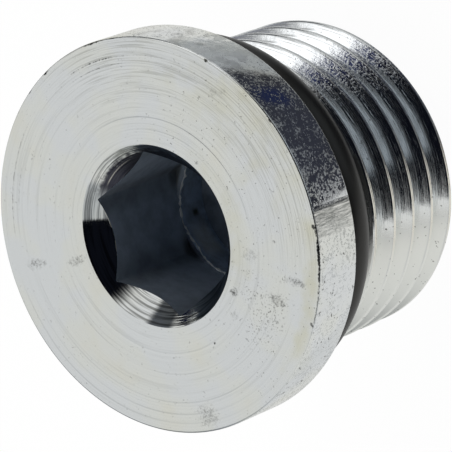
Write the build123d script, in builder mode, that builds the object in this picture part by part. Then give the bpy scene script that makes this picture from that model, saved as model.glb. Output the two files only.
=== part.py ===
"""Hex socket plug: a turned and plated screw plug with an O-ring under its head.

The plug stands on its thread end, with its axis on Z and its head up.
All sizes are in millimetres and all angles in degrees.
"""
from math import radians, tan
import os

from build123d import *

# Head
head_diameter = 17.5
head_height = 2.6
head_edge_break = 0.12

# Threaded stud, 9/16-18 UNF
thread_major_diameter = 14.288
stud_length = 9.95
end_chamfer = 0.55

# Undercut below the head, where the O-ring sits
undercut_diameter = 12.1
undercut_width = 2.4
thread_start_angle = 45

# Hexagon socket, broached into a drilled pilot hole
countersink_diameter = 8.1
countersink_angle = 82
hex_across_flats = 6.35
hex_depth = 6.2
pilot_diameter = 6.3
pilot_depth = 7.3
drill_point_angle = 118

# O-ring, loose enough on the undercut to hang a little below the head
ring_section = 1.98
ring_clearance = 0.06
ring_drop = 0.53

# Places that follow from the sizes
overall_length = stud_length + head_height
seat_height = stud_length
undercut_foot = seat_height - undercut_width
thread_top = undercut_foot - (thread_major_diameter - undercut_diameter) / 2 / tan(
    radians(thread_start_angle)
)
pilot_floor = overall_length - pilot_depth
drill_point_depth = pilot_diameter / 2 / tan(radians(drill_point_angle / 2))
countersink_depth = countersink_diameter / 2 / tan(radians(countersink_angle / 2))
ring_centre_radius = undercut_diameter / 2 + ring_clearance + ring_section / 2
ring_centre_height = seat_height - ring_drop - ring_section / 2

# Plug body: one turned piece, revolved from its half section, then drilled,
# countersunk and broached from the head
with BuildPart() as plug_body:
    with BuildSketch(Plane.XZ) as half_section:
        with BuildLine():
            Polyline(
                (0, 0),
                (thread_major_diameter / 2 - end_chamfer, 0),
                (thread_major_diameter / 2, end_chamfer),
                (thread_major_diameter / 2, thread_top),
                (undercut_diameter / 2, undercut_foot),
                (undercut_diameter / 2, seat_height),
                (head_diameter / 2, seat_height),
                (head_diameter / 2, overall_length),
                (0, overall_length),
                close=True,
            )
        make_face()
    revolve(axis=Axis.Z)
    rim_edges = plug_body.edges().filter_by(GeomType.CIRCLE).group_by(SortBy.RADIUS)[-1]
    chamfer(rim_edges, length=head_edge_break)

    # Drilled pilot hole with its pointed floor
    with BuildSketch(Plane.XZ) as pilot_section:
        with BuildLine():
            Polyline(
                (0, pilot_floor - drill_point_depth),
                (pilot_diameter / 2, pilot_floor),
                (pilot_diameter / 2, overall_length),
                (0, overall_length),
                close=True,
            )
        make_face()
    revolve(axis=Axis.Z, mode=Mode.SUBTRACT)

    # Broached hexagon
    with BuildSketch(Plane.XY.offset(overall_length)):
        RegularPolygon(radius=hex_across_flats / 2, side_count=6, major_radius=False)
    extrude(amount=-hex_depth, mode=Mode.SUBTRACT)

    # Countersunk mouth
    with BuildSketch(Plane.XZ) as mouth_section:
        with BuildLine():
            Polyline(
                (0, overall_length - countersink_depth),
                (countersink_diameter / 2, overall_length),
                (0, overall_length),
                close=True,
            )
        make_face()
    revolve(axis=Axis.Z, mode=Mode.SUBTRACT)

# O-ring: round section, slipped over the undercut
with BuildPart() as o_ring:
    with BuildSketch(Plane.XZ) as ring_profile:
        with Locations((ring_centre_radius, ring_centre_height)):
            Circle(ring_section / 2)
    revolve(axis=Axis.Z)

plug_body.part.label = "plug_body"
o_ring.part.label = "o_ring"

os.makedirs("parts", exist_ok=True)
export_step(plug_body.part, "parts/plug_body.step")
export_step(o_ring.part, "parts/o_ring.step")
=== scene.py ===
import random
from math import atan2, cos, degrees, hypot, pi, radians, sin, tan

import bpy
from mathutils import Matrix, Vector


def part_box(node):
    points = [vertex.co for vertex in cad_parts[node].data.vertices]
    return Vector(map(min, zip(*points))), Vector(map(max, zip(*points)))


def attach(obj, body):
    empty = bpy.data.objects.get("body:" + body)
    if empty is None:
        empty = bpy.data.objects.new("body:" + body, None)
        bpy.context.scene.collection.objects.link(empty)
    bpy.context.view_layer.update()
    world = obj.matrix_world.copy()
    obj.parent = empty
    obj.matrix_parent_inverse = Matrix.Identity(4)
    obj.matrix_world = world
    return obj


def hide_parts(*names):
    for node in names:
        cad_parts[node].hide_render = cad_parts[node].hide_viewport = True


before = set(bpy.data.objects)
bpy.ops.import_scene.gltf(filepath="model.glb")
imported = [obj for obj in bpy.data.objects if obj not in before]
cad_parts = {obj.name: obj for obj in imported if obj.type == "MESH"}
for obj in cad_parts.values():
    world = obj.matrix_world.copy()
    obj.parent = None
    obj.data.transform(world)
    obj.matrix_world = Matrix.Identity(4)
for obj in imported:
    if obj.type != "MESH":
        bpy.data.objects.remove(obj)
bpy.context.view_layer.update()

MM = 0.001
SEED = 11

# ---------------------------------------------------------------- sizes, in millimetres
# The outer sizes come from the frame, the rest are the plug's own driving dimensions.
head_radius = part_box("plug_body")[1][0] / MM
overall_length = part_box("plug_body")[1][2] / MM
ring_low, ring_high = (corner[2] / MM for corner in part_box("o_ring"))
ring_outer_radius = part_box("o_ring")[1][0] / MM

head_height = 2.6
edge_radius = 0.08
seat_height = overall_length - head_height

major_radius = 14.288 / 2
pitch = 25.4 / 18
thread_angle = 60
thread_depth = 0.6134 * pitch
end_chamfer = 0.55
undercut_radius = 12.1 / 2
undercut_width = 2.4
undercut_foot = seat_height - undercut_width
thread_top = undercut_foot - (major_radius - undercut_radius)
crest_height_on_x = 5.288

mouth_radius = 8.1 / 2
mouth_half_angle = radians(41)
hex_flat_radius = 6.35 / 2
hex_corner_depth = 5.82
hex_flat_depth = 5.60
hex_end_lean = 0.18
hex_lean_azimuth = 10
hex_corner_round = 0.06
hex_end_tear = 0.03
pilot_radius = 6.3 / 2
pilot_depth = 7.3
drill_half_angle = radians(59)

turning_feed = 0.13
mark_depth = 0.010
crest_edge = 0.035
crest_seam = 0.035
helix_steps = 180
helix_turns = 7
turns_below_crest = 4

# How near two places are welded, and how near they count as one
WELD = 1e-5
NEAR = 0.01

# Where the facing tool dug in, from the socket outwards: (radius, depth)
face_scores = (
    (4.29, 0.007), (4.42, 0.006), (4.56, 0.010), (4.74, 0.012), (5.18, 0.016), (5.44, 0.006),
    (6.03, 0.008), (6.19, 0.009), (6.41, 0.007), (6.69, 0.009), (6.86, 0.007), (7.09, 0.009),
    (7.40, 0.012), (7.57, 0.014), (7.71, 0.008), (7.93, 0.012), (8.13, 0.010), (8.35, 0.013),
    (8.47, 0.010),
)

# The body's finishes, by material index
FACE, STEPS, BAR_SKIN, THREAD, CONE, SOCKET, PILOT, BURR = range(8)


# ---------------------------------------------------------------- modelling helpers
def deselect_all():
    """Leaves nothing selected, because an operator acts on all that is."""
    bpy.ops.object.select_all(action="DESELECT")


def pick(obj):
    """Makes one object the only one selected, and active."""
    deselect_all()
    obj.select_set(True)
    bpy.context.view_layer.objects.active = obj


def pick_edges(obj, wanted):
    """Goes to edit mode with those edges selected whose two ends pass a test."""
    bpy.ops.object.mode_set(mode="EDIT")
    bpy.ops.mesh.select_mode(type="EDGE")
    bpy.ops.mesh.select_all(action="DESELECT")
    bpy.ops.object.mode_set(mode="OBJECT")
    for edge in obj.data.edges:
        edge.select = wanted(*(obj.data.vertices[i].co for i in edge.vertices))
    bpy.ops.object.mode_set(mode="EDIT")


def outline_object(name, points, closed=False):
    """Draws an outline in the XZ plane, one vertex extruded from the last."""
    deselect_all()
    bpy.ops.mesh.primitive_plane_add(size=1)
    obj = bpy.context.object
    obj.name = name
    bpy.ops.object.mode_set(mode="EDIT")
    bpy.ops.mesh.select_mode(type="VERT")
    bpy.ops.mesh.merge(type="CENTER")
    x, z = points[0]
    bpy.ops.transform.translate(value=(x, 0, z))
    for (x0, z0), (x1, z1) in zip(points, points[1:]):
        bpy.ops.mesh.extrude_vertices_move(TRANSFORM_OT_translate={"value": (x1 - x0, 0, z1 - z0)})
    if closed:
        bpy.ops.mesh.select_all(action="SELECT")
        bpy.ops.mesh.edge_face_add()
    bpy.ops.object.mode_set(mode="OBJECT")
    return obj


def turned(name, points, steps=192):
    """Turns an outline of (radius, height) points about Z into a closed solid."""
    obj = outline_object(name, points)
    bpy.ops.object.mode_set(mode="EDIT")
    bpy.ops.mesh.select_all(action="SELECT")
    bpy.ops.mesh.spin(steps=steps, angle=2 * pi, center=(0, 0, 0), axis=(0, 0, 1))
    bpy.ops.mesh.select_all(action="SELECT")
    bpy.ops.mesh.remove_doubles(threshold=WELD)
    bpy.ops.mesh.normals_make_consistent(inside=False)
    bpy.ops.object.mode_set(mode="OBJECT")
    return obj


def apply_modifier(obj, kind, **settings):
    """Adds a modifier with its settings and applies it."""
    pick(obj)
    bpy.ops.object.modifier_add(type=kind)
    modifier = obj.modifiers[-1]
    for name, value in settings.items():
        setattr(modifier, name, value)
    bpy.ops.object.modifier_apply(modifier=modifier.name)


def work_in(obj, tool, operation):
    """Cuts the tool's shape out of a piece, or adds it, and removes the tool."""
    apply_modifier(
        obj, "BOOLEAN", operation=operation, solver="EXACT", material_mode="TRANSFER", object=tool,
    )
    mesh = tool.data
    bpy.data.objects.remove(tool)
    bpy.data.meshes.remove(mesh)


def to_metres(obj):
    """Scales a piece that was modelled in millimetres."""
    pick(obj)
    obj.scale = (MM, MM, MM)
    bpy.ops.object.transform_apply(location=False, rotation=False, scale=True)


# ---------------------------------------------------------------- plug body
def turning_marks(start, end, seed, depth=mark_depth, scores=()):
    """Outline points of a turned surface: a groove at each turn of the feed, some dug deeper."""
    # Each groove's points: (share of the turn, share of the depth)
    groove = ((0.0, 0.0), (0.25, 0.8), (0.6, 1.0))
    rng = random.Random(seed)
    (r0, z0), (r1, z1) = start, end
    length = hypot(r1 - r0, z1 - z0)
    inward = (-(z1 - z0) / length, (r1 - r0) / length)
    count = int(length / turning_feed)
    points = []
    for turn in range(count):
        deep = depth * rng.uniform(0.25, 1.0) ** 2
        here = r0 + (r1 - r0) * (turn + 0.5) / count
        for radius, score in scores:
            if abs(radius - here) <= turning_feed / 2:
                deep = score
        for share, sunk in groove:
            along = (turn + share) / count
            points.append((
                r0 + (r1 - r0) * along + inward[0] * deep * sunk,
                z0 + (z1 - z0) * along + inward[1] * deep * sunk,
            ))
    return points[1:]


def rounded_edge(centre, radius, first, last, steps=4):
    """Outline points of a round section or a worn edge, from one angle to another."""
    angles = [first + (last - first) * step / steps for step in range(steps + 1)]
    return [
        (centre[0] + radius * cos(radians(angle)), centre[1] + radius * sin(radians(angle)))
        for angle in angles
    ]


def turned_blank():
    """The plug as it leaves the lathe, before thread and socket are cut."""
    inset = head_radius - edge_radius
    under_mouth = 0.6
    end_pip_radius = 0.3
    face_start = (inset, overall_length)
    face_end = (mouth_radius - under_mouth, overall_length)
    end_rim = (major_radius - end_chamfer, 0)
    outline = [
        (0, 0),
        *turning_marks((end_pip_radius, 0), end_rim, SEED + 3),
        end_rim,
        (major_radius, end_chamfer),
        (major_radius, thread_top),
        (undercut_radius, undercut_foot),
        (undercut_radius, seat_height),
        *rounded_edge((inset, seat_height + edge_radius), edge_radius, -90, 0),
        *rounded_edge((inset, overall_length - edge_radius), edge_radius, 0, 90),
        *turning_marks(face_start, face_end, SEED, scores=face_scores),
        face_end,
        (0, overall_length),
    ]
    return turned("turned_plug_body", outline)


def helical_cutter(name, groove, height):
    """A closed groove outline, swept up the thread's helix and capped at both ends."""
    tool = outline_object(name, [(r, z + height) for r, z in groove], closed=True)
    apply_modifier(
        tool, "SCREW", angle=2 * pi, screw_offset=pitch, iterations=helix_turns, steps=helix_steps,
        render_steps=helix_steps, axis="Z", use_merge_vertices=False, use_normal_calculate=True,
    )
    bpy.ops.object.mode_set(mode="EDIT")
    bpy.ops.mesh.select_all(action="SELECT")
    bpy.ops.mesh.remove_doubles(threshold=WELD)
    bpy.ops.mesh.select_all(action="DESELECT")
    bpy.ops.mesh.select_non_manifold()
    bpy.ops.mesh.edge_face_add()
    bpy.ops.mesh.select_all(action="SELECT")
    bpy.ops.mesh.normals_make_consistent(inside=False)
    bpy.ops.object.mode_set(mode="OBJECT")
    return tool


def thread_cutter():
    """The groove between the thread's crests, swept past the end and out into the undercut."""
    root = major_radius - thread_depth
    slope = tan(radians(thread_angle / 2))
    proud = 0.25
    half_top = (pitch - pitch / 8) / 2
    half_root = half_top - thread_depth * slope
    # The crest's edges are worn, and the root is rounded over its last 0.12 mm
    upper = [
        (major_radius + proud, half_top + crest_edge),
        (major_radius, half_top + crest_edge / 2),
        (major_radius - crest_edge, half_top - crest_edge * slope),
        (major_radius - 2 * crest_edge, half_top - 2 * crest_edge * slope),
        (root + 0.12, half_root + 0.12 * slope),
        (root + 0.08, half_root + 0.08 * slope),
        (root + 0.02, half_root * 0.62),
    ]
    lower = [(r, -z) for r, z in reversed(upper)]
    height = crest_height_on_x - pitch / 2 - turns_below_crest * pitch
    return helical_cutter("thread_cutter", [*upper, (root, 0), *lower], height)


def seam_cutter():
    """The fold that thread rolling leaves along the crest, just below its middle."""
    proud = 0.1
    off_middle = 0.01
    seam = [
        (major_radius + proud, crest_seam * 2),
        (major_radius - crest_seam, 0),
        (major_radius + proud, -crest_seam * 2),
    ]
    height = crest_height_on_x - turns_below_crest * pitch - off_middle
    return helical_cutter("seam_cutter", seam, height)


def pilot_drill():
    """The twist drill that makes the pilot hole."""
    floor = overall_length - pilot_depth
    proud = 1
    return turned("pilot_drill", [
        (0, floor - pilot_radius / tan(drill_half_angle)),
        (pilot_radius, floor),
        (pilot_radius, overall_length + proud),
        (0, overall_length + proud),
    ], steps=96)


def cut_end(azimuth):
    """The depth where the broach's cut ends: an arch on each flat, all leaning a little."""
    off_flat = (azimuth % 60 - 30) / 30
    arch = (hex_corner_depth - hex_flat_depth) * (1 - off_flat ** 2)
    return hex_corner_depth - arch + hex_end_lean * cos(radians(azimuth - hex_lean_azimuth))


def hex_broach():
    """The hexagon broach: its cut ends in a torn arch on each flat, lowest in the corners."""
    deselect_all()
    proud = 1
    length = hex_corner_depth + proud
    floor = overall_length - hex_corner_depth
    bpy.ops.mesh.primitive_cylinder_add(
        vertices=6, radius=hex_flat_radius / cos(radians(30)), depth=length,
        location=(0, 0, floor + length / 2), rotation=(0, 0, radians(30)),
    )
    broach = bpy.context.object
    bpy.ops.object.transform_apply(location=True, rotation=True, scale=True)
    pick_edges(broach, lambda low, high: abs(low.z - high.z) > hex_corner_depth)
    bpy.ops.mesh.bevel(offset=hex_corner_round, segments=3, affect="EDGES")
    # The six long edges of the end are divided, and their new vertices follow the arches
    pick_edges(broach, lambda low, high: max(low.z, high.z) < floor + NEAR and (low - high).length > 2)
    bpy.ops.mesh.subdivide(number_cuts=13)
    bpy.ops.object.mode_set(mode="OBJECT")
    rng = random.Random(SEED + 5)
    for vertex in broach.data.vertices:
        if vertex.co.z < floor + NEAR:
            depth = cut_end(degrees(atan2(vertex.co.y, vertex.co.x)))
            vertex.co.z = overall_length - depth + rng.uniform(-hex_end_tear, hex_end_tear)
    return broach


def broach_burr():
    """The ragged lip of torn metal along the end of the broach's cut."""
    slices = 144
    sunk = 0.01
    lip_radius = 0.055
    wander = 0.04
    deselect_all()
    bpy.ops.mesh.primitive_torus_add(
        major_radius=pilot_radius - sunk, minor_radius=lip_radius,
        major_segments=slices, minor_segments=6,
    )
    burr = bpy.context.object
    rng = random.Random(SEED + 6)
    thick = [rng.uniform(0.35, 1.2) ** 2 for _ in range(slices)]
    drift = [rng.uniform(-wander, wander) for _ in range(slices)]
    for vertex in burr.data.vertices:
        azimuth = degrees(atan2(vertex.co.y, vertex.co.x))
        here = round(azimuth * slices / 360) % slices
        radius = hypot(vertex.co.x, vertex.co.y)
        spread = (pilot_radius + (radius - pilot_radius) * thick[here]) / radius
        vertex.co.x *= spread
        vertex.co.y *= spread
        lip = vertex.co.z * thick[here]
        vertex.co.z = overall_length - cut_end(azimuth) + drift[here] + lip
    return burr


def countersink():
    """The countersink that opens the socket's mouth."""
    tip = overall_length - mouth_radius / tan(mouth_half_angle)
    proud = 0.5
    core = 3
    start = (core, tip + core / tan(mouth_half_angle))
    end = (mouth_radius + proud * tan(mouth_half_angle), overall_length + proud)
    marks = turning_marks(start, end, SEED + 1, depth=0.005)
    return turned("countersink", [(0, tip), start, *marks, end, (0, end[1])], steps=128)


def region_of(face):
    """The material index of a blank's face, by where it lies."""
    radius = hypot(face.center.x, face.center.y)
    if face.center.z > seat_height + NEAR:
        return FACE if face.normal.z > 0.7 else BAR_SKIN
    if radius > undercut_radius + NEAR and face.center.z < undercut_foot and face.normal.z > -0.5:
        return THREAD
    return STEPS


def make_plug_body():
    """The turned blank, then thread, fold, pilot, socket, burr and mouth, each with its own finish."""
    smooth_angle = radians(34)
    finishes = [
        zinc_on_turned_face(), zinc_on_turned_steps(), zinc_on_bar_skin(),
        zinc_on_rolled_thread(), zinc_on_countersink(),
        thin_zinc("thin zinc in broached socket", THIN_ZINC),
        thin_zinc("thin zinc in drilled pilot", PILOT_ZINC), torn_zinc(),
    ]
    body = turned_blank()
    for finish in finishes:
        body.data.materials.append(finish)
    for face in body.data.polygons:
        face.material_index = region_of(face)
    for tool, operation, finish in (
        (thread_cutter(), "DIFFERENCE", THREAD), (seam_cutter(), "DIFFERENCE", THREAD),
        (pilot_drill(), "DIFFERENCE", PILOT), (hex_broach(), "DIFFERENCE", SOCKET),
        (broach_burr(), "UNION", BURR), (countersink(), "DIFFERENCE", CONE),
    ):
        tool.data.materials.append(finishes[finish])
        work_in(body, tool, operation)
    to_metres(body)
    bpy.ops.object.shade_smooth_by_angle(angle=smooth_angle)
    body.name = body.data.name = "turned_plug_body"
    return body


# ---------------------------------------------------------------- O-ring
def make_o_ring():
    """The O-ring: its round section turned about the axis, as wide and as high up as the frame has it."""
    section_radius = (ring_high - ring_low) / 2
    middle = (ring_outer_radius - section_radius, (ring_low + ring_high) / 2)
    ring = turned("rubber_o_ring", rounded_edge(middle, section_radius, 0, 360, steps=40), steps=160)
    ring.data.name = "rubber_o_ring"
    ring.data.materials.append(nitrile_rubber())
    to_metres(ring)
    bpy.ops.object.shade_smooth()
    return ring


# ---------------------------------------------------------------- nodes
# Kinds of node, each with its settings
COORDINATES = ("ShaderNodeTexCoord", {})
LIGHT_PATH = ("ShaderNodeLightPath", {})
AXES = ("ShaderNodeSeparateXYZ", {})
JOINED = ("ShaderNodeCombineXYZ", {})
NOISE = ("ShaderNodeTexNoise", {})
RAMP = ("ShaderNodeMapRange", {"interpolation_type": "SMOOTHSTEP"})
MIX = ("ShaderNodeMix", {"data_type": "RGBA"})
BUMP = ("ShaderNodeBump", {})
PRINCIPLED = ("ShaderNodeBsdfPrincipled", {})
DIFFUSE = ("ShaderNodeBsdfDiffuse", {})
EMISSION = ("ShaderNodeEmission", {})
MIXED_SHADERS = ("ShaderNodeMixShader", {})
BACKGROUND = ("ShaderNodeBackground", {})
MATERIAL_OUTPUT = ("ShaderNodeOutputMaterial", {})
WORLD_OUTPUT = ("ShaderNodeOutputWorld", {})
PLUS, MINUS, TIMES, OVER, POWER, LARGER, WRAP, COSINE, ARCSINE, ARCTAN2 = (
    ("ShaderNodeMath", {"operation": operation}) for operation in (
        "ADD", "SUBTRACT", "MULTIPLY", "DIVIDE", "POWER", "MAXIMUM", "WRAP", "COSINE", "ARCSINE", "ARCTAN2",
    )
)
SCALE, STRETCH, LENGTH, DIRECTION = (
    ("ShaderNodeVectorMath", {"operation": operation})
    for operation in ("SCALE", "MULTIPLY", "LENGTH", "NORMALIZE")
)


def add_node(tree, kind, *inputs, **named):
    """Adds a node with its settings. Its inputs, in order or by name, take a value, socket or node."""
    node_type, settings = kind
    node = tree.nodes.new(node_type)
    for name, value in settings.items():
        setattr(node, name, value)
    shown = [socket for socket in node.inputs if socket.enabled]
    given = list(zip(shown, inputs)) + [(node.inputs[name], value) for name, value in named.items()]
    for socket, value in given:
        if isinstance(value, bpy.types.Node):
            value = next(output for output in value.outputs if output.enabled)
        if isinstance(value, bpy.types.NodeSocket):
            tree.links.new(value, socket)
        else:
            socket.default_value = value
    return node


def new_material(name):
    """An empty material and its node tree."""
    material = bpy.data.materials.new(name)
    material.use_nodes = True
    tree = material.node_tree
    tree.nodes.clear()
    return material, tree


def place_in_mm(tree):
    """The surface point in millimetres, its distance from the axis, and its direction from it."""
    coordinates = add_node(tree, COORDINATES)
    point = add_node(tree, SCALE, coordinates.outputs["Object"], 1 / MM)
    flat = add_node(tree, STRETCH, point, (1, 1, 0))
    axes = add_node(tree, AXES, point)
    turn = add_node(tree, ARCTAN2, axes.outputs["Y"], axes.outputs["X"])
    return {
        "point": point, "height": axes.outputs["Z"], "azimuth": add_node(tree, TIMES, turn, degrees(1)),
        "radius": add_node(tree, LENGTH, flat), "outward": add_node(tree, DIRECTION, flat),
    }


def along_cut(tree, across, outward, fade):
    """Coordinates that change fast across the tool marks and slowly round the axis."""
    parts = add_node(tree, AXES, add_node(tree, SCALE, outward, fade))
    return add_node(tree, JOINED, across, parts.outputs["X"], parts.outputs["Y"])


def span(tree, value, low, high, soft):
    """A mask that is 1 where a value lies between two limits, with soft ends."""
    above = add_node(tree, RAMP, value, low - soft, low + soft)
    below = add_node(tree, RAMP, value, high - soft, high + soft, 1.0, 0.0)
    return add_node(tree, TIMES, above, below)


def laid_over(tree, colour, mask, strength, other):
    """A colour with another laid over it, at a strength, where a mask is 1."""
    return add_node(tree, MIX, add_node(tree, TIMES, mask, strength), colour, other)


def close_tree(tree, colour, roughness, layers, metallic=1.0):
    """Closes a node tree with its shader, raised by (height, depth in millimetres) layers of bump."""
    normal = {}
    for height, depth in layers:
        normal["Normal"] = add_node(
            tree, BUMP, **{"Height": height, "Distance": depth * MM, "Strength": 1.0}, **normal,
        )
    shader = add_node(tree, PRINCIPLED, colour, metallic, roughness, **normal)
    add_node(tree, MATERIAL_OUTPUT, shader)


# ---------------------------------------------------------------- materials
def linear(code):
    """An sRGB hex colour as linear RGBA."""
    channels = [int(code[i:i + 2], 16) / 255 for i in (1, 3, 5)]
    return [c / 12.92 if c <= 0.04045 else ((c + 0.055) / 1.055) ** 2.4 for c in channels] + [1]


BLUISH_ZINC = linear("#E2E5E7")
GREENISH_ZINC = linear("#E4E6E3")
YELLOWISH_ZINC = linear("#E4E4DC")
YELLOW_ZINC = linear("#D6D4BC")
# Cream for painted highlights: the thread's crests, a scratch and the hexagon's lip in the countersink, and
# a patch on the pilot's wall
CREAM_PAINTED_HIGHLIGHT = linear("#F2EEE2")
PALE_ZINC = linear("#F2F3EE")
DULL_ZINC = linear("#8F9190")
RING_GREY = linear("#7F7F74")
SCRAPED_DARK = linear("#A2A4A0")
SCRAPED_LIGHT = linear("#F0F0EC")
DARKER_CONE_ZINC = linear("#2B2C3A")
THIN_ZINC = linear("#B4BFCC")
PILOT_ZINC = linear("#C6D4E4")
CLOUDY_ZINC = linear("#9DA7B4")
# Painted shade on the drill point at the bottom of the pilot
PAINTED_SHADE_SLATE = linear("#4C5563")
# Dirt for stains, specks, pits and smudges, and for the painted shade in the socket's corners
DIRT_AND_PAINTED_SHADE = linear("#4A4944")
# Soot for the darker stains, and for the painted shade on the head's edge
SOOT_AND_PAINTED_SHADE = linear("#1E1F22")
RUBBER = linear("#16140F")
RUBBER_DUST = linear("#57544A")
WHITE = [1, 1, 1, 1]

# How much each finer octave of a noise adds
FALLOFF = 0.55

# Stains on the face: (azimuth, radius, length along the radius, width, strength)
face_stains = (
    (98, 4.75, 1.3, 0.55, 0.6), (95, 7.15, 1.4, 0.55, 0.6), (52, 6.34, 0.14, 0.12, 1.0),
    (-127, 4.55, 0.55, 0.45, 1.0), (-119, 6.72, 1.1, 0.65, 0.8), (-110, 7.50, 1.3, 0.45, 0.7),
    (-138, 5.05, 0.55, 0.40, 0.5), (-158, 5.25, 0.14, 0.16, 1.1), (-97, 6.40, 0.18, 0.16, 0.8),
    (-24, 6.05, 0.14, 0.12, 0.6), (-175, 8.05, 1.2, 1.3, 0.55), (-47, 4.30, 0.22, 0.18, 0.8),
    (-127, 6.98, 0.30, 0.22, 0.7), (-40, 7.55, 0.50, 0.45, 0.35), (-43, 7.90, 0.40, 0.40, 0.35),
    (-142, 6.14, 0.28, 0.12, 0.9), (-129, 6.60, 0.20, 0.16, 0.6), (-104, 5.10, 1.0, 0.7, 0.3),
    (7, 7.92, 0.08, 4.8, 1.0), (9, 7.60, 0.07, 3.3, 0.8), (67, 8.02, 0.08, 6.6, 0.6),
    (68, 7.66, 0.07, 2.8, 0.5),
)

# Painted shade on the head's edge, in its nicks and as the dark side's reflection along the rolled edge:
# (azimuth, radius, length along the radius, width, strength)
painted_edge_shade = (
    (28, 8.71, 0.20, 0.55, 1.0), (37, 8.72, 0.12, 0.40, 0.8), (2, 8.72, 0.07, 2.6, 1.0),
    (-34, 8.66, 0.20, 0.26, 1.0), (-60, 8.71, 0.16, 0.34, 0.9), (-92, 8.62, 0.22, 0.26, 0.9),
    (8, 8.72, 0.15, 1.2, 1.0), (-101, 8.70, 0.18, 3.4, 1.0), (-117, 8.72, 0.09, 2.4, 0.6),
    (-121, 8.62, 0.24, 0.22, 0.8),
)

# Yellowish places in the passivation: (azimuth, radius, length along the radius, width, strength)
face_tints = (
    (-82, 4.45, 1.6, 7.5, 0.40), (-112, 8.32, 1.1, 9.5, 0.75), (-69, 6.15, 2.6, 1.2, 0.30),
    (-70, 8.50, 1.2, 9.5, 0.55), (-100, 4.60, 1.4, 5.0, 0.25), (-52, 7.60, 3.6, 10.0, 0.50),
)

# A field of fine specks on the face: (azimuth, radius, length along the radius, width)
speck_field = (-124, 6.2, 3.4, 4.8)


def face_spot(tree, place, azimuth, radius, length, width, ragged, core=0.1):
    """A ragged oval mask on the head's face, its length along the radius."""
    out = add_node(tree, OVER, add_node(tree, MINUS, place["radius"], radius), length / 2)
    aside = add_node(tree, MINUS, place["azimuth"], azimuth)
    aside = add_node(tree, TIMES, aside, radians(1) * radius / (width / 2))
    square = add_node(tree, PLUS, add_node(tree, POWER, out, 2), add_node(tree, POWER, aside, 2))
    return add_node(tree, RAMP, add_node(tree, PLUS, square, ragged), core, 1.0, 1.0, 0.0)


def zinc_tint(tree, place):
    """The faint bluish, greenish and yellowish clouds of clear-passivated zinc."""
    cloud = add_node(tree, NOISE, place["point"], 1 / 2.6, 2.0, FALLOFF)
    cool = add_node(tree, MIX, add_node(tree, RAMP, cloud, 0.38, 0.56), BLUISH_ZINC, GREENISH_ZINC)
    return add_node(tree, MIX, add_node(tree, RAMP, cloud, 0.56, 0.76), cool, YELLOWISH_ZINC)


def specks(tree, place, size, share, soft=0.03, patch=0.0):
    """A mask of small separate spots, in patches or all over. A lower share leaves fewer of them."""
    spots = add_node(tree, NOISE, place["point"], 1 / size, 1.0, FALLOFF)
    mask = add_node(tree, RAMP, spots, 1 - share - soft, 1 - share + soft)
    if patch:
        patches = add_node(tree, NOISE, place["point"], 1 / patch, 1.0, FALLOFF)
        mask = add_node(tree, TIMES, mask, add_node(tree, RAMP, patches, 0.5, 0.62))
    return mask


def turned_zinc(tree, place, across):
    """Colour, roughness and bump layers of clear zinc over lathe marks that run round the axis."""
    # The finest lines are thinner than this on a real face: 0.05 mm is as coarse as they need to show
    fine = add_node(tree, NOISE, along_cut(tree, across, place["outward"], 0.12), 1 / 0.05, 3.0, FALLOFF)
    broad = add_node(tree, NOISE, along_cut(tree, across, place["outward"], 0.15), 1 / 0.14, 2.0, FALLOFF)
    lines = add_node(tree, RAMP, broad, 0.56, 0.7)
    colour = laid_over(tree, zinc_tint(tree, place), lines, 0.12, DULL_ZINC)
    mottle = add_node(tree, NOISE, place["point"], 1 / 0.25, 3.0, FALLOFF)
    layers = [(fine, 0.002), (broad, 0.002), (mottle, 0.002)]
    return colour, add_node(tree, RAMP, broad, 0.2, 0.8, 0.15, 0.22), layers


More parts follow.
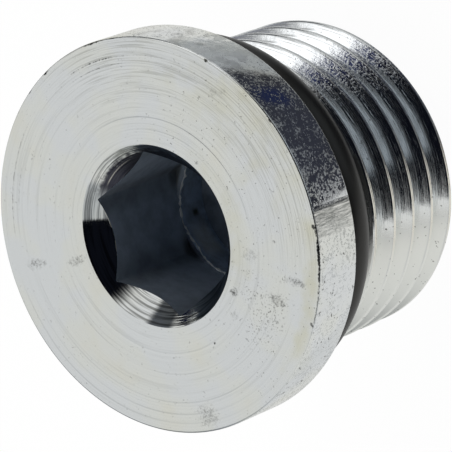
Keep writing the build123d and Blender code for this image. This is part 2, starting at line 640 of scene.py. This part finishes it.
def zinc_on_turned_face():
    """Clear zinc over a faced surface: rings from the lathe tool show through, under a few stains."""
    soot_from = 0.65
    material, tree = new_material("clear zinc on turned face")
    place = place_in_mm(tree)
    point = place["point"]
    colour, roughness, layers = turned_zinc(tree, place, place["radius"])
    crumbs = add_node(tree, NOISE, point, 1 / 0.14, 3.0, FALLOFF)
    torn = add_node(tree, TIMES, add_node(tree, MINUS, crumbs, 0.5), 3.2)
    clouds = add_node(tree, NOISE, point, 1 / 1.1, 3.0, FALLOFF)
    drift = add_node(tree, TIMES, add_node(tree, MINUS, clouds, 0.5), 2.4)
    grains = add_node(tree, NOISE, point, 1 / 0.08, 2.0, FALLOFF)
    grit = add_node(tree, RAMP, grains, 0.43, 0.53, 0.25, 1.0)
    for *oval, strength in face_tints:
        spot = face_spot(tree, place, *oval, drift, core=-0.7)
        colour = laid_over(tree, colour, spot, strength, YELLOW_ZINC)
    for *oval, strength in face_stains:
        spot = add_node(tree, TIMES, face_spot(tree, place, *oval, torn, core=-0.6), grit)
        colour = laid_over(tree, colour, spot, strength, SOOT_AND_PAINTED_SHADE if strength > soot_from else DIRT_AND_PAINTED_SHADE)
    # Painted shade along the head's edge, in the soot colour of the stains
    for *oval, strength in painted_edge_shade:
        colour = laid_over(tree, colour, face_spot(tree, place, *oval, torn), strength, SOOT_AND_PAINTED_SHADE)

    field = face_spot(tree, place, *speck_field, drift, core=-0.7)
    field = add_node(tree, TIMES, field, specks(tree, place, 0.085, 0.36, soft=0.04))
    colour = laid_over(tree, colour, field, 0.8, DIRT_AND_PAINTED_SHADE)

    ringed = span(tree, place["azimuth"], -98, 22, 16)
    rings = along_cut(tree, place["radius"], place["outward"], 0.2)
    rings = add_node(tree, RAMP, add_node(tree, NOISE, rings, 1 / 0.07, 3.0, FALLOFF), 0.5, 0.62)
    rings = add_node(tree, TIMES, rings, add_node(tree, RAMP, place["radius"], 5.2, 7.6, 0.05, 0.30))
    colour = laid_over(tree, colour, rings, ringed, RING_GREY)

    grey_side = span(tree, place["azimuth"], -150, -15, 22)
    dust = specks(tree, place, 0.12, 0.27)
    dustier = add_node(tree, RAMP, grey_side, 0.0, 1.0, 0.25, 0.6)
    colour = laid_over(tree, colour, dust, dustier, DIRT_AND_PAINTED_SHADE)

    ring_height = add_node(tree, RAMP, ringed, 0, 1, 0.35, 1.0)
    layers = [(add_node(tree, TIMES, height, ring_height), depth) for height, depth in layers]
    close_tree(tree, colour, roughness, layers)
    return material


def zinc_on_turned_steps():
    """Clear zinc over the undercut, the head's underside and the stud's end."""
    material, tree = new_material("clear zinc on turned steps")
    place = place_in_mm(tree)
    across = add_node(tree, PLUS, place["radius"], place["height"])
    close_tree(tree, *turned_zinc(tree, place, across))
    return material


def zinc_on_bar_skin():
    """Clear zinc over the bar's drawn skin: frosted in fine spots, pitted, and scraped in one band."""
    material, tree = new_material("clear zinc on bar skin")
    place = place_in_mm(tree)
    point, azimuth = place["point"], place["azimuth"]

    # Frosted zinc has a finer grain than this: 0.12 mm is as coarse as it needs to show
    crystals = add_node(tree, NOISE, point, 1 / 0.12, 3.0, 0.7)
    patches = add_node(tree, NOISE, point, 1 / 0.6, 2.0, FALLOFF)
    density = add_node(tree, PLUS, crystals, add_node(tree, TIMES, patches, 0.35))
    low_side = add_node(tree, RAMP, azimuth, -90, -50, 0.03, 0.0)
    frost = add_node(tree, RAMP, add_node(tree, PLUS, density, low_side), 0.685, 0.84)
    veil = span(tree, azimuth, -44, -20, 6)
    veiled = add_node(tree, TIMES, veil, add_node(tree, RAMP, patches, 0.35, 0.6, 0.1, 0.6))
    frost = add_node(tree, LARGER, frost, veiled)

    fine_pits = add_node(tree, TIMES, specks(tree, place, 0.11, 0.31, patch=0.9), 0.6)
    worn = add_node(tree, LARGER, fine_pits, specks(tree, place, 0.22, 0.30, soft=0.02))
    worn = add_node(tree, TIMES, worn, add_node(tree, RAMP, azimuth, -104, -96, 1.0, 0.0))
    pits = add_node(tree, LARGER, specks(tree, place, 0.17, 0.27, patch=1.1), worn)
    smudges = specks(tree, place, 0.8, 0.4, soft=0.08)
    smudges = add_node(tree, TIMES, smudges, add_node(tree, RAMP, azimuth, -36, -26, 0.0, 0.3))

    scraped = span(tree, azimuth, -96, -87.5, 0.6)
    fading = add_node(tree, TIMES, scraped, add_node(tree, RAMP, azimuth, -96, -90, 0.35, 1.0))
    round_axis = add_node(tree, STRETCH, point, (1, 1, 0.12))
    scrapes = add_node(tree, NOISE, round_axis, 1 / 0.07, 3.0, FALLOFF)
    rubbed_and_painted_light = add_node(tree, MIX, add_node(tree, RAMP, scrapes, 0.35, 0.65), SCRAPED_DARK, SCRAPED_LIGHT)

    colour = laid_over(tree, zinc_tint(tree, place), frost, 0.10, DULL_ZINC)
    colour = add_node(tree, MIX, add_node(tree, RAMP, azimuth, -16, 4, 0.0, 0.6), colour, YELLOW_ZINC)
    colour = laid_over(tree, colour, pits, 0.8, DIRT_AND_PAINTED_SHADE)
    colour = add_node(tree, MIX, smudges, colour, DIRT_AND_PAINTED_SHADE)
    colour = add_node(tree, MIX, fading, colour, rubbed_and_painted_light)
    roughness = add_node(tree, RAMP, frost, 0.0, 1.0, 0.07, 0.52)
    roughness = add_node(tree, LARGER, roughness, add_node(tree, TIMES, scraped, 0.3))

    grain = add_node(tree, TIMES, crystals, frost)
    step = add_node(tree, TIMES, span(tree, azimuth, -89, -88, 0.4), 0.8)
    cuts = add_node(tree, PLUS, add_node(tree, TIMES, scrapes, scraped), step)
    dents = add_node(tree, TIMES, add_node(tree, NOISE, point, 1 / 0.3, 3.0, FALLOFF), veil)
    close_tree(tree, colour, roughness, [(grain, 0.004), (cuts, 0.012), (dents, 0.012)])
    return material


def zinc_on_rolled_thread():
    """Clear zinc over a rolled thread: burnished bright along the helix, with a painted cream highlight on
    the crests on the side towards the camera.
    """
    material, tree = new_material("clear zinc on rolled thread")
    place = place_in_mm(tree)
    point, azimuth = place["point"], place["azimuth"]

    # Streaks follow the helix, so they are drawn on the height within one pitch. Their 0.04 mm and the
    # frost's 0.11 mm are coarser than the real ones, so that they show.
    lead = add_node(tree, TIMES, azimuth, -pitch / 360)
    turn = add_node(tree, WRAP, add_node(tree, PLUS, place["height"], lead), 0.0, pitch)
    front = span(tree, azimuth, -106, 40, 6)
    streaks = add_node(tree, NOISE, along_cut(tree, turn, place["outward"], 0.12), 1 / 0.04, 3.0, FALLOFF)
    streaks = add_node(tree, TIMES, streaks, front)
    # Painted highlight: cream on the crests, only round the side towards the camera
    crest = add_node(tree, RAMP, place["radius"], major_radius - 0.02, major_radius - 0.006)
    crest = add_node(tree, TIMES, crest, span(tree, azimuth, -116, -74, 8))
    frost = add_node(tree, RAMP, add_node(tree, NOISE, point, 1 / 0.11, 3.0, 0.7), 0.5, 0.68)
    frost = add_node(tree, TIMES, frost, span(tree, azimuth, -60, -36, 8))
    pits = specks(tree, place, 0.15, 0.265)

    pale_side = add_node(tree, RAMP, azimuth, -118, -98, 0.9, 0.0)
    colour = add_node(tree, MIX, pale_side, BLUISH_ZINC, PALE_ZINC)
    dull = add_node(tree, RAMP, streaks, 0.48, 0.68, 0.0, 0.75)
    colour = add_node(tree, MIX, dull, colour, DULL_ZINC)
    colour = laid_over(tree, colour, crest, 0.8, CREAM_PAINTED_HIGHLIGHT)
    colour = laid_over(tree, colour, pits, 0.7, DIRT_AND_PAINTED_SHADE)
    roughness = add_node(tree, RAMP, streaks, 0.38, 0.7, 0.06, 0.30)
    roughness = add_node(tree, LARGER, roughness, add_node(tree, TIMES, frost, 0.34))
    roughness = add_node(tree, LARGER, roughness, add_node(tree, RAMP, azimuth, -112, -102, 0.3, 0.0))

    uneven = add_node(tree, RAMP, azimuth, -62, -44, 0.3, 1.0)
    waves = add_node(tree, TIMES, add_node(tree, NOISE, point, 1 / 0.4, 3.0, FALLOFF), uneven)
    waves = add_node(tree, TIMES, waves, front)
    close_tree(tree, colour, roughness, [(streaks, 0.010), (waves, 0.010), (frost, 0.004)])
    return material


def zinc_on_countersink():
    """Clear zinc over the countersink: crisp rings from the cutter, darker on one side."""
    material, tree = new_material("clear zinc on countersink")
    place = place_in_mm(tree)
    azimuth, radius = place["azimuth"], place["radius"]

    rings = add_node(tree, NOISE, along_cut(tree, radius, place["outward"], 0.08), 1 / 0.06, 3.0, FALLOFF)
    dull = add_node(tree, RAMP, rings, 0.42, 0.62)
    colour = add_node(tree, MIX, dull, zinc_tint(tree, place), DULL_ZINC)
    ragged = add_node(tree, TIMES, add_node(tree, NOISE, place["point"], 1 / 0.3, 3.0, FALLOFF), 0.5)
    # Darker colour on one side of the cone, inside its outer edge
    below_edge = add_node(tree, RAMP, add_node(tree, PLUS, radius, ragged), 3.86, 4.10, 0.95, 0.0)
    darker_side = add_node(tree, TIMES, below_edge, span(tree, azimuth, -60, 56, 9))
    colour = add_node(tree, MIX, darker_side, colour, DARKER_CONE_ZINC)

    # A scratch in the darker part, and the lip that the broach raised along the hexagon, both painted with
    # a cream highlight
    scratch = add_node(
        tree, TIMES, span(tree, radius, 3.50, 3.53, 0.012), span(tree, azimuth, 18, 46, 4),
    )
    off_flat = add_node(tree, MINUS, add_node(tree, WRAP, azimuth, 60, 0), 30)
    lean = add_node(tree, COSINE, add_node(tree, TIMES, off_flat, radians(1)))
    past_hexagon = add_node(tree, MINUS, radius, add_node(tree, OVER, hex_flat_radius, lean))
    lip = add_node(tree, RAMP, past_hexagon, 0.0, 0.05, 0.8, 0.0)
    lip = add_node(tree, TIMES, lip, add_node(tree, RAMP, ragged, 0.2, 0.3, 0.2, 1.0))
    lip = add_node(tree, TIMES, lip, span(tree, azimuth, 68, 106, 6))
    bright = add_node(tree, LARGER, lip, add_node(tree, TIMES, scratch, 0.45))
    colour = add_node(tree, MIX, bright, colour, CREAM_PAINTED_HIGHLIGHT)

    roughness = add_node(tree, RAMP, rings, 0.3, 0.7, 0.03, 0.10)
    rubbed_and_painted_light = add_node(tree, LARGER, add_node(tree, TIMES, bright, 0.5), add_node(tree, TIMES, darker_side, 0.25))
    close_tree(tree, colour, add_node(tree, LARGER, roughness, rubbed_and_painted_light), [(rings, 0.005)])
    return material


def thin_zinc(name, light):
    """Zinc hardly reaches down a blind hole: thin, dull and slate blue, scored along the axis."""
    material, tree = new_material(name)
    place = place_in_mm(tree)
    point, azimuth, height = place["point"], place["azimuth"], place["height"]
    cut_floor = overall_length - hex_corner_depth
    drill_floor = overall_length - pilot_depth

    scores = add_node(tree, NOISE, add_node(tree, STRETCH, point, (1, 1, 0.06)), 1 / 0.1, 3.0, FALLOFF)
    clouds = add_node(tree, NOISE, point, 1.0, 4.0, 0.65)
    in_corners = add_node(tree, RAMP, place["radius"], 3.24, 3.5)
    # Painted shade: the corner floors at the end of the broach's cut, and a small spot beside one corner,
    # darkened in dirt colour
    painted_shade_in_corners = add_node(tree, RAMP, height, cut_floor + 0.25, cut_floor + 0.6, 0.7, 0.3)
    painted_shade_in_corners = add_node(tree, TIMES, painted_shade_in_corners, in_corners)
    # Painted shade: the drill point at the bottom of the blind hole darkens towards slate
    painted_shade_on_drill_point = add_node(tree, RAMP, height, drill_floor - 0.01, drill_floor + 0.03, 0.75, 0.0)
    patch = add_node(tree, TIMES, span(tree, azimuth, 91, 96, 2), span(tree, height, 5.75, 6.1, 0.1))
    # Painted reflection of light: a cream patch on the pilot's wall
    rubbed_and_painted_light = add_node(tree, TIMES, span(tree, azimuth, 104, 132, 8), span(tree, height, 5.5, 6.6, 0.3))

    colour = add_node(tree, MIX, add_node(tree, RAMP, clouds, 0.35, 0.7), light, CLOUDY_ZINC)
    colour = add_node(tree, MIX, painted_shade_on_drill_point, colour, PAINTED_SHADE_SLATE)
    colour = add_node(tree, MIX, add_node(tree, LARGER, painted_shade_in_corners, patch), colour, DIRT_AND_PAINTED_SHADE)
    colour = laid_over(tree, colour, rubbed_and_painted_light, 0.5, CREAM_PAINTED_HIGHLIGHT)
    roughness = add_node(tree, RAMP, clouds, 0.3, 0.7, 0.5, 0.62)
    close_tree(tree, colour, roughness, [(scores, 0.006)], metallic=0.7)
    return material


def torn_zinc():
    """Zinc over the burr that the broach tears up."""
    material, tree = new_material("zinc on torn burr")
    grain = add_node(tree, NOISE, place_in_mm(tree)["point"], 1 / 0.05, 2.0, FALLOFF)
    colour = add_node(tree, MIX, grain, PALE_ZINC, BLUISH_ZINC)
    close_tree(tree, colour, 0.45, [(grain, 0.01)], metallic=0.3)
    return material


def nitrile_rubber():
    """Moulded black nitrile rubber: matt with a soft sheen, and a little dusty."""
    material, tree = new_material("black nitrile rubber")
    place = place_in_mm(tree)
    colour = add_node(tree, MIX, specks(tree, place, 0.14, 0.22), RUBBER, RUBBER_DUST)
    # Moulded rubber's grain is finer than this, and 0.08 mm is as coarse as it needs to show
    grain = add_node(tree, NOISE, place["point"], 1 / 0.08, 2.0, FALLOFF)
    close_tree(tree, colour, 0.38, [(grain, 0.004)], metallic=0.0)
    return material


# ---------------------------------------------------------------- stage, light and camera
def make_floor():
    """A pale floor that takes the plug's shadow, and that the camera sees as nearly white."""
    deselect_all()
    bpy.ops.mesh.primitive_plane_add(size=2)
    floor = bpy.context.object
    floor.name = "pale_floor"
    material, tree = new_material("pale floor")
    matte = add_node(tree, DIFFUSE, linear("#F4F4F4"))
    glow = add_node(tree, EMISSION, WHITE, 1.06)
    seen = add_node(tree, LIGHT_PATH).outputs["Is Camera Ray"]
    mixed = add_node(tree, MIXED_SHADERS, add_node(tree, TIMES, seen, 0.9), matte, glow)
    add_node(tree, MATERIAL_OUTPUT, mixed)
    floor.data.materials.append(material)
    floor.visible_glossy = False


# Grey things round the plug, as its metal shows them, and those in front of the dark side:
# (azimuth from, azimuth to, elevation from, elevation to, how soft its edges are, colour)
grey_panels = (
    (-6, 34, -80, -30, 4, "#A9ACAD"), (36, 62, 16, 37, 3, "#8E8F96"), (12, 37, -24, 24, 4, "#55585C"),
    (52, 84, -34, 2, 5, "#55585C"), (103, 150, -36, 33, 6, "#7A7D80"), (118, 160, 20, 44, 6, "#8A8D90"),
    (-165, -110, 6, 35, 4, "#BFC2C5"),
)
front_panels = (
    (-92, -8, -75, -32, 8, "#34363F"), (-90, -34, -31, 15, 6, "#AEB4B9"), (-42, -5, 0, 12, 3, "#B4B9BD"),
    (-14, 6, 46, 60, 4, "#202C58"), (-33, -20, -56, -42, 4, "#222946"),
)
lamp_panel = (3, 33, 34, 60, 3)
LAMP = [1.5, 1.5, 1.5, 1]


def make_world():
    """A pale studio with a dark side towards the camera, seen only by what the metal reflects."""
    world = bpy.data.worlds.new("studio")
    bpy.context.scene.world = world
    world.use_nodes = True
    tree = world.node_tree
    tree.nodes.clear()
    axes = add_node(tree, AXES, add_node(tree, COORDINATES).outputs["Generated"])
    turn = add_node(tree, ARCTAN2, axes.outputs["Y"], axes.outputs["X"])
    azimuth = add_node(tree, TIMES, turn, degrees(1))
    elevation = add_node(tree, TIMES, add_node(tree, ARCSINE, axes.outputs["Z"]), degrees(1))

    def panel(left, right, low, high, soft):
        """A mask that is 1 inside a span of azimuth and elevation, in degrees."""
        return add_node(
            tree, TIMES, span(tree, azimuth, left, right, soft), span(tree, elevation, low, high, soft),
        )

    # The dark side's two edges lean with the elevation, and its right one is softer at mid height
    low_left = add_node(tree, RAMP, elevation, -50, 30, -94, -125)
    left_edge = add_node(tree, PLUS, low_left, add_node(tree, RAMP, elevation, 35, 65, 0, -20))
    low_right = add_node(tree, RAMP, elevation, -40, 15, -7, -28)
    right_edge = add_node(tree, PLUS, low_right, add_node(tree, RAMP, elevation, 25, 50, 0, 34))
    past_right = add_node(tree, OVER, add_node(tree, MINUS, azimuth, right_edge), 3)
    softer = add_node(tree, PLUS, 1, add_node(tree, TIMES, span(tree, elevation, -20, 40, 15), 3))
    past_right = add_node(tree, OVER, past_right, softer)
    dark_side = add_node(
        tree, TIMES, add_node(tree, RAMP, add_node(tree, MINUS, azimuth, left_edge), -1.5, 1.5),
        add_node(tree, RAMP, past_right, -1, 1, 1.0, 0.0),
    )

    far_side = add_node(tree, RAMP, azimuth, 30, 170)
    colour = add_node(tree, MIX, far_side, linear("#E6E6E4"), linear("#DCDDDC"))
    for *edges, code in grey_panels:
        colour = add_node(tree, MIX, panel(*edges), colour, linear(code))
    colour = add_node(tree, MIX, dark_side, colour, linear("#0C0E15"))
    for *edges, code in front_panels:
        colour = add_node(tree, MIX, panel(*edges), colour, linear(code))
    colour = add_node(tree, MIX, panel(*lamp_panel), colour, LAMP)
    seen = add_node(tree, LIGHT_PATH).outputs["Is Camera Ray"]
    colour = add_node(tree, MIX, seen, colour, WHITE)
    add_node(tree, WORLD_OUTPUT, add_node(tree, BACKGROUND, colour, 1.0))


def make_camera():
    """A long lens above the plug, turned so that the head is at the left of the picture."""
    data = bpy.data.cameras.new("camera")
    camera = bpy.data.objects.new("camera", data)
    bpy.context.scene.collection.objects.link(camera)
    bpy.context.scene.camera = camera
    data.sensor_width = 36
    data.lens = 318.6
    data.clip_start = 0.01
    azimuth, elevation, roll = radians(-11.237), radians(49.349), radians(-111.0)
    aim = Vector((-0.975, 1.524, 6.0)) * MM
    distance = 177.5 * MM
    forward = Vector((sin(azimuth) * cos(elevation), cos(azimuth) * cos(elevation), -sin(elevation)))
    turn = forward.to_track_quat("-Z", "Y") @ Matrix.Rotation(roll, 3, "Z").to_quaternion()
    camera.matrix_world = Matrix.LocRotScale(aim - forward * distance, turn, None)


bpy.context.scene.view_settings.view_transform = "Standard"

make_camera()
make_world()
make_floor()

body = make_plug_body()
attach(body, "root")
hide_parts("plug_body")

ring = make_o_ring()
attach(ring, "root")
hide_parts("o_ring")
